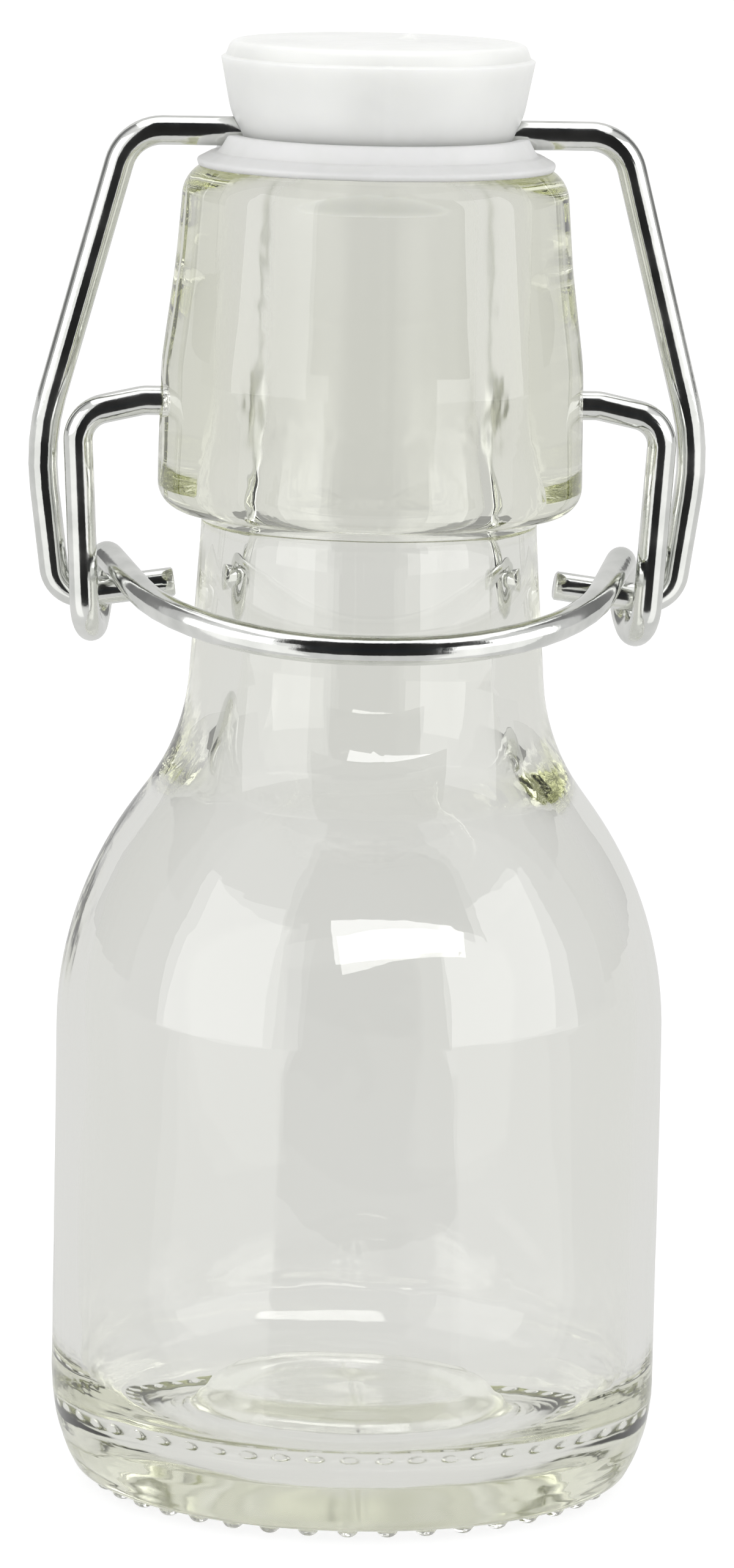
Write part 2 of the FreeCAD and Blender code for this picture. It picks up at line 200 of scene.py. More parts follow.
def rounded_route(route, step):
    """Points along straight runs joined by tangent arcs. A route point is (position, radius)."""
    points = [np.array(route[0][0], float)]
    for (before, _), (corner, radius), (after, _) in zip(route, route[1:], route[2:]):
        corner = np.array(corner, float)
        back, ahead = np.array(before) - corner, np.array(after) - corner
        back, ahead = back / np.linalg.norm(back), ahead / np.linalg.norm(ahead)
        half_turn = (math.pi - math.acos(np.clip(back @ ahead, -1, 1))) / 2
        inwards = (back + ahead) / np.linalg.norm(back + ahead)
        centre = corner + inwards * radius / math.cos(half_turn)
        start = corner + back * radius * math.tan(half_turn)
        across = (start - centre) / radius
        forward = -back
        points += straight_points(points[-1], start, step)
        count = max(3, math.ceil(2 * half_turn / math.radians(7)))
        for index in range(1, count + 1):
            turn = 2 * half_turn * index / count
            points.append(centre + radius * (across * math.cos(turn) + forward * math.sin(turn)))
    points += straight_points(points[-1], np.array(route[-1][0], float), step)
    return np.array(points)


# ---------------------------------------------------------------- materials

BORE_ROUGHNESS = 0.16
FLOOR_ROUGHNESS = 0.07
# The grey range of a noise that ramps and ranges spread out.
NOISE_LOW, NOISE_HIGH = 0.35, 0.65


def new_material(name):
    """A node material, with its nodes, its links and its Principled shader."""
    material = bpy.data.materials.new(name)
    material.use_nodes = True
    nodes = material.node_tree.nodes
    return material, nodes, material.node_tree.links, nodes["Principled BSDF"]


def add_noise(nodes, links, scale, detail, stretch=None):
    """Noise in object space, as its node; stretch scales each axis."""
    place = nodes.new("ShaderNodeTexCoord")
    texture = nodes.new("ShaderNodeTexNoise")
    texture.inputs["Scale"].default_value = scale
    texture.inputs["Detail"].default_value = detail
    if stretch is None:
        links.new(place.outputs["Object"], texture.inputs["Vector"])
        return texture
    mapping = nodes.new("ShaderNodeMapping")
    mapping.inputs["Scale"].default_value = stretch
    links.new(place.outputs["Object"], mapping.inputs["Vector"])
    links.new(mapping.outputs["Vector"], texture.inputs["Vector"])
    return texture


def add_range(nodes, links, source, low, high):
    """Map a noise's middle part to low..high."""
    spread = nodes.new("ShaderNodeMapRange")
    spread.inputs["From Min"].default_value = NOISE_LOW
    spread.inputs["From Max"].default_value = NOISE_HIGH
    spread.inputs["To Min"].default_value = low
    spread.inputs["To Max"].default_value = high
    links.new(source, spread.inputs["Value"])
    return spread.outputs["Result"]


def add_ramp(nodes, links, source, low_colour, high_colour):
    """Turn a noise's middle part into a colour between the two."""
    ramp = nodes.new("ShaderNodeValToRGB")
    ramp.color_ramp.elements[0].position = NOISE_LOW
    ramp.color_ramp.elements[1].position = NOISE_HIGH
    ramp.color_ramp.elements[0].color = (*low_colour, 1)
    ramp.color_ramp.elements[1].color = (*high_colour, 1)
    links.new(source, ramp.inputs["Fac"])
    return ramp.outputs["Color"]


def add_bump(nodes, links, shader, height, strength, distance):
    """Fine relief of the shader's surface."""
    bump = nodes.new("ShaderNodeBump")
    bump.inputs["Strength"].default_value = strength
    bump.inputs["Distance"].default_value = distance
    links.new(height, bump.inputs["Height"])
    links.new(bump.outputs["Normal"], shader.inputs["Normal"])


def add_band(nodes, links, source, start, end):
    """0 at start and 1 at end of a value, smooth between."""
    band = nodes.new("ShaderNodeMapRange")
    band.interpolation_type = "SMOOTHSTEP"
    band.inputs["From Min"].default_value = start
    band.inputs["From Max"].default_value = end
    links.new(source, band.inputs["Value"])
    return band.outputs["Result"]


def add_math(nodes, links, operation, first, second):
    """A node that joins two values; second may be a number."""
    node = nodes.new("ShaderNodeMath")
    node.operation = operation
    links.new(first, node.inputs[0])
    if isinstance(second, float):
        node.inputs[1].default_value = second
    else:
        links.new(second, node.inputs[1])
    return node.outputs["Value"]


def add_inside_roughness(nodes, links):
    """Extra roughness of the pressed bore in the collar and of the floor inside, in metres."""
    place = nodes.new("ShaderNodeTexCoord")
    flat = nodes.new("ShaderNodeVectorMath")
    flat.operation = "MULTIPLY"
    flat.inputs[1].default_value = (1, 1, 0)
    links.new(place.outputs["Object"], flat.inputs[0])
    length = nodes.new("ShaderNodeVectorMath")
    length.operation = "LENGTH"
    links.new(flat.outputs["Vector"], length.inputs[0])
    split = nodes.new("ShaderNodeSeparateXYZ")
    links.new(place.outputs["Object"], split.inputs["Vector"])
    radius, height = length.outputs["Value"], split.outputs["Z"]
    near_bore = add_band(nodes, links, radius, 0.0100, 0.0092)
    in_collar = add_band(nodes, links, height, 0.084, 0.087)
    inside_wall = add_band(nodes, links, radius, 0.0228, 0.0220)
    near_floor = add_band(nodes, links, height, 0.0110, 0.0095)
    bore = add_math(nodes, links, "MULTIPLY", near_bore, in_collar)
    floor = add_math(nodes, links, "MULTIPLY", inside_wall, near_floor)
    bore = add_math(nodes, links, "MULTIPLY", bore, BORE_ROUGHNESS)
    floor = add_math(nodes, links, "MULTIPLY", floor, FLOOR_ROUGHNESS)
    return add_math(nodes, links, "ADD", bore, floor)


def glass_material():
    """Clear soda-lime glass: faint green where it is thick, slow ripples and light finger haze."""
    material, nodes, links, shader = new_material("clear_glass")
    shader.inputs["Transmission Weight"].default_value = 1.0
    shader.inputs["IOR"].default_value = 1.52
    tint = add_noise(nodes, links, 45.0, 2.0)
    colour = add_ramp(nodes, links, tint.outputs["Fac"], (0.978, 0.980, 0.966), (0.990, 0.991, 0.982))
    links.new(colour, shader.inputs["Base Color"])
    haze = add_noise(nodes, links, 160.0, 5.0, (1.0, 1.0, 0.45))
    fine = add_range(nodes, links, haze.outputs["Fac"], 0.0, 0.025)
    inside = add_inside_roughness(nodes, links)
    links.new(add_math(nodes, links, "ADD", fine, inside), shader.inputs["Roughness"])
    ripple = add_noise(nodes, links, 260.0, 2.0, (1.0, 1.0, 0.35))
    add_bump(nodes, links, shader, ripple.outputs["Fac"], 0.12, 0.00012)
    absorption = nodes.new("ShaderNodeVolumeAbsorption")
    absorption.inputs["Color"].default_value = (0.87, 0.88, 0.73, 1)
    absorption.inputs["Density"].default_value = 24.0
    links.new(absorption.outputs["Volume"], nodes["Material Output"].inputs["Volume"])
    return material


def stopper_material():
    """Milky polyethylene: soft inside, satin outside, with faint flow marks and scuffs."""
    material, nodes, links, shader = new_material("milky_plastic")
    shader.inputs["IOR"].default_value = 1.5
    shader.inputs["Subsurface Weight"].default_value = 0.6
    shader.inputs["Subsurface Radius"].default_value = (1.0, 1.0, 0.9)
    shader.inputs["Subsurface Scale"].default_value = 0.003
    cloud = add_noise(nodes, links, 120.0, 3.0)
    colour = add_ramp(nodes, links, cloud.outputs["Fac"], (0.715, 0.72, 0.705), (0.755, 0.76, 0.745))
    links.new(colour, shader.inputs["Base Color"])
    scuff = add_noise(nodes, links, 900.0, 6.0)
    links.new(add_range(nodes, links, scuff.outputs["Fac"], 0.30, 0.46), shader.inputs["Roughness"])
    add_bump(nodes, links, shader, scuff.outputs["Fac"], 0.10, 0.0001)
    return material


def seal_material():
    """Soft translucent rubber with a fine matt skin."""
    material, nodes, links, shader = new_material("translucent_rubber")
    shader.inputs["IOR"].default_value = 1.43
    shader.inputs["Transmission Weight"].default_value = 0.12
    shader.inputs["Subsurface Weight"].default_value = 0.75
    shader.inputs["Subsurface Radius"].default_value = (1.0, 1.0, 0.95)
    shader.inputs["Subsurface Scale"].default_value = 0.0025
    cloud = add_noise(nodes, links, 260.0, 3.0)
    colour = add_ramp(nodes, links, cloud.outputs["Fac"], (0.90, 0.905, 0.885), (0.965, 0.967, 0.95))
    links.new(colour, shader.inputs["Base Color"])
    skin = add_noise(nodes, links, 1500.0, 4.0)
    links.new(add_range(nodes, links, skin.outputs["Fac"], 0.34, 0.5), shader.inputs["Roughness"])
    add_bump(nodes, links, shader, skin.outputs["Fac"], 0.12, 0.0001)
    return material


def wire_material():
    """Bright drawn wire with slight patchy dulling and small pits."""
    material, nodes, links, shader = new_material("bright_wire")
    shader.inputs["Metallic"].default_value = 1.0
    patch = add_noise(nodes, links, 320.0, 4.0)
    colour = add_ramp(nodes, links, patch.outputs["Fac"], (0.70, 0.71, 0.69), (0.84, 0.845, 0.825))
    links.new(colour, shader.inputs["Base Color"])
    links.new(add_range(nodes, links, patch.outputs["Fac"], 0.07, 0.17), shader.inputs["Roughness"])
    pits = add_noise(nodes, links, 1800.0, 3.0)
    add_bump(nodes, links, shader, pits.outputs["Fac"], 0.08, 0.0001)
    return material


# ---------------------------------------------------------------- bottle

# Outside, from the ground up, in millimetres.
DOME_RISE = 4.6
RING_INNER = 19.6
RING_Z = 0.7
HEEL_R = 15.0
HEEL_TOP = 8.5
HEEL_CORNER = 1.15
SHOULDER_Z = 38.0
SHOULDER_R = 31.0
SHOULDER_SLOPE = math.radians(36)
SHOULDER_RUN = 1.77
NECK_CURVE = 17.0
NECK_TAPER = math.radians(3.6)
COLLAR_BOTTOM = 80.7
COLLAR_R = 17.35
COLLAR_CORNER = 2.6
LIP_R = 2.9
LIP_OUTER_R = 15.74
# Inside, from the mouth down.
MOUTH_R = 8.45
MOUTH_EDGE = 1.5
MOUTH_BOTTOM = 88.0
MOUTH_FADE_START, MOUTH_FADE_END = 103.0, 106.5
BORE_R = 10.2
BORE_TOP = 77.5
BORE_BEND = 16.0
INNER_SLOPE = math.radians(44)
WALL = 2.2
# Small bumps on the bearing ring, and the two pivot dimples.
BUMPS = 42
BUMP_R = 0.88
BUMP_RING = 21.4
RING_ZONE = 2.0
DIMPLE_R = 1.30
DIMPLE_END = 14.0
DIMPLE_EDGE_R = 2.4
DIMPLE_EDGE_DEPTH = 0.35
# Rows are closer here: (from height, to height, step).
OUTER_ZONES = (
    (PIN_Z - 2.6, PIN_Z + 2.6, 0.14),
    (0.0, 1.3, 0.16),
    (1.3, 13.0, 0.4),
    (45.0, 58.0, 0.5),
)
INNER_ZONE = (82.0, MOUTH_FADE_END, 0.45)
PROFILE_STEP = 1.1


def bottle_outside():
    """From the middle of the push-up over the ring and heel, and up to the inside edge of the lip."""
    heel_centre = BODY_R - HEEL_R
    reach = HEEL_R - HEEL_CORNER
    rise = HEEL_TOP - HEEL_CORNER - RING_Z
    ring_r = heel_centre + math.sqrt(reach ** 2 - rise ** 2)
    foot = (heel_centre + (ring_r - heel_centre) * HEEL_R / reach, HEEL_TOP - rise * HEEL_R / reach)
    shoulder_end = (
        BODY_R - SHOULDER_R * (1 - math.cos(SHOULDER_SLOPE)),
        SHOULDER_Z + SHOULDER_R * math.sin(SHOULDER_SLOPE),
    )
    run_end = (
        shoulder_end[0] - SHOULDER_RUN * math.tan(SHOULDER_SLOPE),
        shoulder_end[1] + SHOULDER_RUN,
    )
    neck = (
        run_end[0] - NECK_CURVE * (math.cos(NECK_TAPER) - math.cos(SHOULDER_SLOPE)),
        run_end[1] + NECK_CURVE * (math.sin(SHOULDER_SLOPE) - math.sin(NECK_TAPER)),
    )
    neck_top = neck[0] - (COLLAR_BOTTOM - neck[1]) * math.tan(NECK_TAPER)
    base = rounded(
        [(0.02, DOME_RISE + 0.6), (9.0, DOME_RISE), (16.0, 1.4), (RING_INNER, RING_Z), (ring_r, RING_Z)],
        [0, 12.0, 9.0, 1.5],
    )
    collar = rounded(
        [
            (neck_top + 0.05, COLLAR_BOTTOM - 1.6),
            (neck_top, COLLAR_BOTTOM),
            (COLLAR_R, COLLAR_BOTTOM + 0.15),
            (COLLAR_R - 0.02, 84.5),
            (17.2, 92.8),
            (16.18, 100.8),
            (LIP_OUTER_R, LIP_TOP - LIP_R),
        ],
        [0, 0.9, COLLAR_CORNER - 0.3, 6.0, 22.0, 40.0],
    )
    return (
        base
        + [(*foot, HEEL_CORNER, 1), (BODY_R, HEEL_TOP, HEEL_R, 1), (BODY_R, SHOULDER_Z)]
        + [(*shoulder_end, SHOULDER_R, 1), run_end, (*neck, NECK_CURVE, -1)]
        + collar
        + [(LIP_OUTER_R - LIP_R, LIP_TOP, LIP_R, 1), (MOUTH_R + MOUTH_EDGE, LIP_TOP)]
    )


def bottle_inside():
    """From the inside edge of the lip down the bore and the wall to the middle of the hump."""
    inner_r = BODY_R - WALL
    arc_radius = SHOULDER_R - WALL
    shoulder = (
        inner_r - arc_radius * (1 - math.cos(INNER_SLOPE)),
        SHOULDER_Z + arc_radius * math.sin(INNER_SLOPE),
    )
    flare = (shoulder[0] - BORE_R) / (1 - math.cos(INNER_SLOPE))
    bore = rounded(
        [
            (MOUTH_R, LIP_TOP - MOUTH_EDGE),
            (MOUTH_R, MOUTH_BOTTOM),
            (BORE_R, BORE_TOP),
            (BORE_R, shoulder[1] + flare * math.sin(INNER_SLOPE)),
        ],
        [0, BORE_BEND, BORE_BEND],
    )
    floor = rounded(
        [(inner_r, 13.0), (inner_r, 4.3), (14.2, 4.2), (11.6, 8.0), (0.02, 9.2)],
        [0, 7.0, 2.2, 3.0],
    )
    return (
        [(MOUTH_R + MOUTH_EDGE, LIP_TOP), (MOUTH_R, LIP_TOP - MOUTH_EDGE, MOUTH_EDGE, 1)]
        + bore
        + [(*shoulder, flare, 1), (inner_r, SHOULDER_Z, arc_radius, -1)]
        + floor
    )


def refined(profile, low, high, step):
    """The profile with extra points between two heights on it."""
    result = [profile[0]]
    for point in profile[1:]:
        last = result[-1]
        gap = math.dist(last, point)
        if low < point[1] < high and gap > step:
            count = math.ceil(gap / step)
            result += [last + (point - last) * index / count for index in range(1, count)]
        result.append(point)
    return np.array(result)


def bottle_angles():
    """Angles round the bottle, closer at each stipple bump and round the two dimples."""
    pitch = TAU / BUMPS
    inside = np.radians([0.0, 0.55, 1.1, 1.6, 2.0, 2.3, 2.65, 3.4])
    offsets = sorted({0.0, *inside[1:], *(pitch - inside[1:])})
    angles = {round(bump * pitch + offset, 6) for bump in range(BUMPS) for offset in offsets}
    for middle in (0.0, math.pi):
        for offset in np.radians([2.65, 3.7, 4.1, 4.4, 4.7, 5.05]):
            angles |= {round((middle + offset) % TAU, 6), round((middle - offset) % TAU, 6)}
    return np.array(sorted(angles))


def make_bottle(material):
    """The glass: one closed skin, with moulded marks outside and the blown unevenness inside."""
    angles = bottle_angles()
    outer = outline(bottle_outside(), PROFILE_STEP)
    for zone in OUTER_ZONES:
        outer = refined(outer, *zone)
    inner = refined(outline(bottle_inside(), PROFILE_STEP)[1:], *INNER_ZONE)
    profile = np.concatenate([outer, inner])
    inside = (np.arange(len(profile)) >= len(outer))[:, None]
    normals, radius, height, place = turned(profile, angles)

    wobble = outer_wobble(place, radius, height) * ~inside + inner_wobble(place, radius, height) * inside
    stipple = stipple_bumps(radius, height, angles) * ~inside
    seam = seam_ridge(radius, height, angles) * ~inside
    push = wobble + stipple + seam
    radius = radius + push * normals[:, :1]
    height = height + push * normals[:, 1:]
    radius = radius - dimple_depth(radius, height, angles) * ~inside
    return revolved("bottle_shell", radius, height, angles, material)


def outer_wobble(place, radius, height):
    """Slow unevenness of the moulded outside, with fine rings round the heel."""
    slow = noise_field(place, 16.0, 1) * 0.05
    slow = slow + noise_field(place, 3.6, 8) * 0.014 + noise_field(place, 1.3, 9) * 0.004
    rings = noise_field(place * np.array([0.2, 0.2, 2.4]), 4.0, 2) * 0.05
    heel = smooth_step(12.5, 8.0, height) * smooth_step(18.5, 21.0, radius)
    on_wall = smooth_step(1.0, 6.0, height)
    return slow * on_wall + rings * heel * smooth_step(0.8, 2.0, height)


def inner_wobble(place, radius, height):
    """The blown inside: lumpy and mottled in the collar, slow waves in the body, still at the mouth."""
    slow = noise_field(place, 14.0, 3) * 0.22
    lumps = noise_field(place * np.array([1.0, 1.0, 0.55]), 3.4, 4) * 0.07
    mottle = noise_field(place * np.array([1.0, 1.0, 0.7]), 0.9, 7) * 0.05
    side = smooth_step(0.78, 0.94, np.abs(place[..., 0]) / np.maximum(radius, 0.01))
    wave = smooth_step(1.8, 0.6, np.abs(height - MOUTH_BOTTOM))
    below_mouth = smooth_step(MOUTH_FADE_END, MOUTH_FADE_START, height)
    collar = smooth_step(76.0, 84.0, height) * below_mouth
    base = smooth_step(10.0, 5.0, height)
    body_waves = slow * below_mouth * (1 - 0.6 * collar)
    collar_lumps = lumps * (collar * side + 0.8 * base)
    return body_waves + collar_lumps + mottle * collar * np.maximum(side, wave)


def stipple_bumps(radius, height, angles):
    """Small rounded bumps on the bearing ring, which reach the ground."""
    pitch = TAU / BUMPS
    around = (np.mod(angles + pitch / 2, pitch) - pitch / 2)[None, :] * radius
    distance = np.hypot(around, radius - BUMP_RING) / BUMP_R
    return RING_Z * np.sqrt(np.maximum(1 - distance**2, 0)) * (height < RING_ZONE)


def seam_ridge(radius, height, angles):
    """Two faint mould seams, a quarter turn from the pivots."""
    away = seam_distance(radius, angles)
    on_side = (height > RING_ZONE) * (height < LIP_TOP - 1.2)
    return 0.07 * smooth_step(0.5, 0.0, away) * on_side


def dimple_depth(radius, height, angles):
    """The two pivot dimples: a blind hole for the pin with a flared edge."""
    sideways = radius * np.sin(angles)[None, :]
    distance = np.hypot(sideways, height - PIN_Z)
    hole = smooth_step(DIMPLE_R + 0.22, DIMPLE_R, distance) * (radius - DIMPLE_END)
    flare = smooth_step(DIMPLE_EDGE_R, DIMPLE_R, distance) * DIMPLE_EDGE_DEPTH
    return np.maximum(hole, flare) * (radius > 15.0)


# ---------------------------------------------------------------- stopper and seal

HEAD_BOTTOM = 111.2
HEAD_TOP_EDGE = 118.9
FLASH_START, FLASH_END = 111.5, 118.5
GATE_X = 2.5
SEAL_GAP = 0.12
SEAL_RIM_R = 14.6
SEAL_CUP_TOP = SEAL_TOP + 0.45
SEAL_CUP_FLOOR = SEAL_TOP - 0.1
STEM_HOLE_R = 7.25


def make_stopper(material):
    """The plug, the stem and the flared head, with flash lines at the seams and a gate mark on top."""
    corners = [
        (0.02, STEM_BOTTOM),
        (6.7, STEM_BOTTOM),
        (7.85, 106.4),
        (7.85, 107.5),
        (7.2, 107.5),
        (7.2, 111.05),
        (10.9, 111.05),
        (11.94, 113.3),
        (12.75, 117.65),
        (12.36, 117.85),
        (11.95, 119.0),
        (9.5, 119.15),
        (0.02, HEAD_TOP - 0.2),
    ]
    radii = [0, 0.4, 0.4, 0.15, 0.15, 0.3, 0.35, 6.0, 0.12, 0.1, 0.8, 4.0]
    profile = outline(rounded(corners, radii), 0.5)
    angles = np.linspace(0, TAU, 160, endpoint=False)
    normals, radius, height, place = turned(profile, angles)
    away = seam_distance(radius, angles)
    flash = 0.06 * smooth_step(0.35, 0.0, away) * (height > FLASH_START) * (height < FLASH_END)
    push = (noise_field(place, 6.0, 5) * 0.04 + flash) * (height > HEAD_BOTTOM)
    gate = np.hypot(place[..., 0] - GATE_X, place[..., 1])
    lift = 0.45 * smooth_step(0.75, 0.35, gate) * (height > HEAD_TOP_EDGE)
    radius = radius + push * normals[:, :1]
    height = height + push * normals[:, 1:] * (height < HEAD_TOP_EDGE) + lift
    piece = revolved("stopper_head", radius, height, angles, material)
    cut_cylinder(piece, WIRE_R + 0.1, CROSS_Z)
    return piece


def cut_cylinder(piece, radius, height):
    """A round hole right through the piece along X."""
    mesh = bpy.data.meshes.new("cutter")
    builder = bmesh.new()
    bmesh.ops.create_cone(
        builder, cap_ends=True, segments=48, radius1=radius * MM, radius2=radius * MM, depth=60 * MM
    )
    turn = Matrix.Rotation(math.pi / 2, 4, "Y")
    raised = Matrix.Translation((0, 0, height * MM)) @ turn
    bmesh.ops.transform(builder, matrix=raised, verts=builder.verts)
    builder.to_mesh(mesh)
    builder.free()
    cutter = bpy.data.objects.new("cutter", mesh)
    bpy.context.scene.collection.objects.link(cutter)
    modifier = piece.modifiers.new("hole", "BOOLEAN")
    modifier.operation = "DIFFERENCE"
    modifier.solver = "EXACT"
    modifier.object = cutter
    bpy.context.view_layer.update()
    depsgraph = bpy.context.evaluated_depsgraph_get()
    result = bpy.data.meshes.new_from_object(piece.evaluated_get(depsgraph))
    piece.modifiers.clear()
    piece.data = result
    bpy.data.objects.remove(cutter)
    result.set_sharp_from_angle(angle=math.radians(35))


def make_seal(material):
    """A closed ring: a sleeve in the mouth, a flange along the lip and a low cup round the stopper."""
    sleeve_r = MOUTH_R - SEAL_GAP
    corners = rounded(
        [
            (STEM_HOLE_R, 108.0),
            (STEM_HOLE_R, SEAL_BOTTOM),
            (sleeve_r, SEAL_BOTTOM),
            (sleeve_r, LIP_TOP - MOUTH_EDGE),
        ],
        [0, 0.25, 0.3],
    )
    corners += [(MOUTH_R + MOUTH_EDGE, LIP_TOP + SEAL_GAP, MOUTH_EDGE + SEAL_GAP, -1)]
    corners += [(12.8, LIP_TOP + SEAL_GAP), (14.4, LIP_TOP - 0.36, LIP_R + SEAL_GAP, -1)]
    corners += rounded(
        [
            (14.45, LIP_TOP - 0.30),
            (SEAL_RIM_R, LIP_TOP + 0.15),
            (13.5, LIP_TOP + 0.75),
            (13.15, LIP_TOP + 0.85),
            (12.45, SEAL_CUP_TOP),
            (11.5, SEAL_CUP_TOP),
            (11.2, SEAL_CUP_FLOOR),
            (STEM_HOLE_R, SEAL_CUP_FLOOR),
            (STEM_HOLE_R, 110.0),
        ],
        [0, 0.25, 0.15, 0.15, 0.3, 0.2, 0.15, 0.2],
    )
    profile = outline(corners, 0.45)
    angles = np.linspace(0, TAU, 192, endpoint=False)
    normals, radius, height, place = turned(profile, angles)
    push = noise_field(place, 4.0, 6) * 0.05 * (radius > 12.5)
    radius = radius + push * normals[:, :1]
    height = height + push * normals[:, 1:]
    # A notch across the top leaves room for the cross wire.
    floor = CROSS_Z - WIRE_R - 0.25
    sideways = np.abs(radius * np.sin(angles)[None, :])
    notch = smooth_step(2.3, 1.5, sideways) * (radius > 7.6)
    height = np.where(height > floor, height - (height - floor) * notch, height)
    return revolved("seal_skin", radius, height, angles, material, closed=True)


# ---------------------------------------------------------------- wires

EYE_X = 21.95
EYE_R = 2.9
STUB_SLOPE = math.tan(math.radians(8))
HANDLE_CORNER = (15.2, -16.5, 71.6)
WIRE_SIDES = 28
END_ROUNDING = 0.14


def bail_half():
    """The bail leans back from the stopper to the lever's eye, which lies behind the pins."""
    lean = EYE_Y / (CROSS_Z - EYE_Z)

    def on_bail(x, z):
        return (x, (CROSS_Z - z) * lean, z)

    def on_stub(x):
        return on_bail(x, EYE_Z + (EYE_X - x) * STUB_SLOPE)

    return [
        (on_stub(15.7), None),
        (on_stub(25.3), 2.4),
        (on_bail(27.0, 85.9), 20.0),
        (on_bail(20.15, CROSS_Z), 3.6),
    ]


def lever_half():
    """From the pin in the dimple up and over the leg, round the eye and on to the handle."""
    corner_x, corner_z = 24.0, 88.4
    eye_corners = (23.1, 22.4, EYE_X, 21.6, 21.4)
    _, handle_y, handle_z = HANDLE_CORNER
    leg_length = math.hypot(EYE_Y, corner_z - EYE_Z)
    first_turn = math.atan2(EYE_Y, corner_z - EYE_Z) - math.asin(EYE_R / leg_length)
    last_turn = math.radians(270) + math.atan2(EYE_Z + EYE_R - handle_z, EYE_Y - handle_y)
    step = (last_turn - first_turn) / len(eye_corners)
    outer = EYE_R / math.cos(step / 2)
    half = [
        ((14.3, 0.0, PIN_Z), None),
        ((18.6, 0.0, PIN_Z), 2.6),
        ((corner_x, 0.0, corner_z), 2.6),
    ]
    for index, x in enumerate(eye_corners):
        turn = first_turn + (index + 0.5) * step
        corner = (x, EYE_Y - outer * math.cos(turn), EYE_Z - outer * math.sin(turn))
        half.append((corner, 0.96 * EYE_R))
    half.append((HANDLE_CORNER, 18.6))
    return half


def mirrored_route(half):
    """The whole route from its +X half."""
    return half + [((-at[0], at[1], at[2]), radius) for at, radius in reversed(half)]


def make_wire(name, half, material):
    """A round wire along the route, with sheared ends that are slightly rounded."""
    path = rounded_route(mirrored_route(half), 1.2)
    keep = np.concatenate([[True], np.linalg.norm(np.diff(path, axis=0), axis=1) > 0.02])
    path = path[keep]
    ahead = np.gradient(path, axis=0)
    ahead /= np.linalg.norm(ahead, axis=1)[:, None]
    turns = np.linspace(0, TAU, WIRE_SIDES, endpoint=False)
    across = np.cross(ahead[0], (0.0, 1.0, 0.0))
    across /= np.linalg.norm(across)
    rings = []
    for point, forward in zip(path, ahead):
        across = across - forward * (across @ forward)
        across /= np.linalg.norm(across)
        other = np.cross(forward, across)
        circle = np.cos(turns)[:, None] * across + np.sin(turns)[:, None] * other
        rings.append(point + WIRE_R * circle)
    for end, sign in ((0, 1), (-1, -1)):
        ring = rings[end]
        middle = ring.mean(axis=0)
        shrunk = middle + (ring - middle) * (1 - END_ROUNDING)
        rings[end] = ring + sign * ahead[end] * END_ROUNDING
        rings.insert(0 if end == 0 else len(rings), shrunk)
    vertices = np.concatenate(rings)
    faces = grid_faces(len(rings), WIRE_SIDES, False)
    faces.append(tuple(reversed(range(WIRE_SIDES))))
    faces.append(tuple((len(rings) - 1) * WIRE_SIDES + side for side in range(WIRE_SIDES)))
    piece = mesh_object(name, vertices, faces, material)
    piece.data.set_sharp_from_angle(angle=math.radians(50))
    return piece


# ---------------------------------------------------------------- studio

# The studio is in metres. The camera stands in front and above, and looks at the middle.
CAMERA_DISTANCE = 0.6155
CAMERA_HEIGHT = 0.1589
CAMERA_AZIMUTH = math.radians(-4.0)
CAMERA_ROLL = math.radians(1.16)
CAMERA_LENS = 174.1
AIM_SIDE = 0.00025
AIM_HEIGHT = 0.0581
FLOOR_DROP = 0.0002

PATCH_HEIGHT = 0.08
SOFT_BOX_HEIGHT = 0.050
DARK = 0.02

# Glow patches on spheres round the bottle, which only reflections and refractions see.
# name: (from azimuth, to azimuth, from elevation, to elevation, distance, colour, strength)
# Azimuth 0 is the front (-Y) and grows towards +X.
PATCHES = {
    "glow_around": (-180, 180, -40, 90, 1.60, (1.00, 1.00, 0.99), 0.735),
    "glow_left": (-86, -40, -20, 36, 1.45, (1, 1, 1), 2.1),
    "glow_left_high": (-86, -40, 36, 64, 1.45, (1, 1, 1), 0.8),
    "glow_left_near": (-40, -27, -20, 64, 1.44, (1, 1, 1), 0.90),
    "glow_right": (31, 86, -20, 36, 1.45, (1, 1, 1), 2.1),
    "glow_right_high": (31, 86, 36, 64, 1.45, (1, 1, 1), 0.8),
    "glow_left_far": (-110, -86, -20, 64, 1.46, (1, 1, 1), 0.60),
    "glow_right_far": (86, 110, -20, 64, 1.46, (1, 1, 1), 0.60),
    "glow_above": (-180, 180, 62, 90, 1.43, (1, 1, 1), 0.30),
    "dark_behind_left": (-142, -104, 2, 66, 1.30, (1, 1, 1), 0.22),
    "dark_behind_right": (104, 142, 2, 66, 1.30, (1, 1, 1), 0.22),
    "dim_behind_left": (-150, -100, 24, 66, 1.29, (1, 1, 1), 0.30),
    "dim_behind_right": (100, 150, 24, 66, 1.29, (1, 1, 1), 0.30),
    "dark_front": (-27, 31, -24, 66, 0.95, (0.9, 1, 1.1), DARK),
    "dim_front": (-27, 31, -24, 66, 0.94, (1, 1, 0.98), 0.42),
}

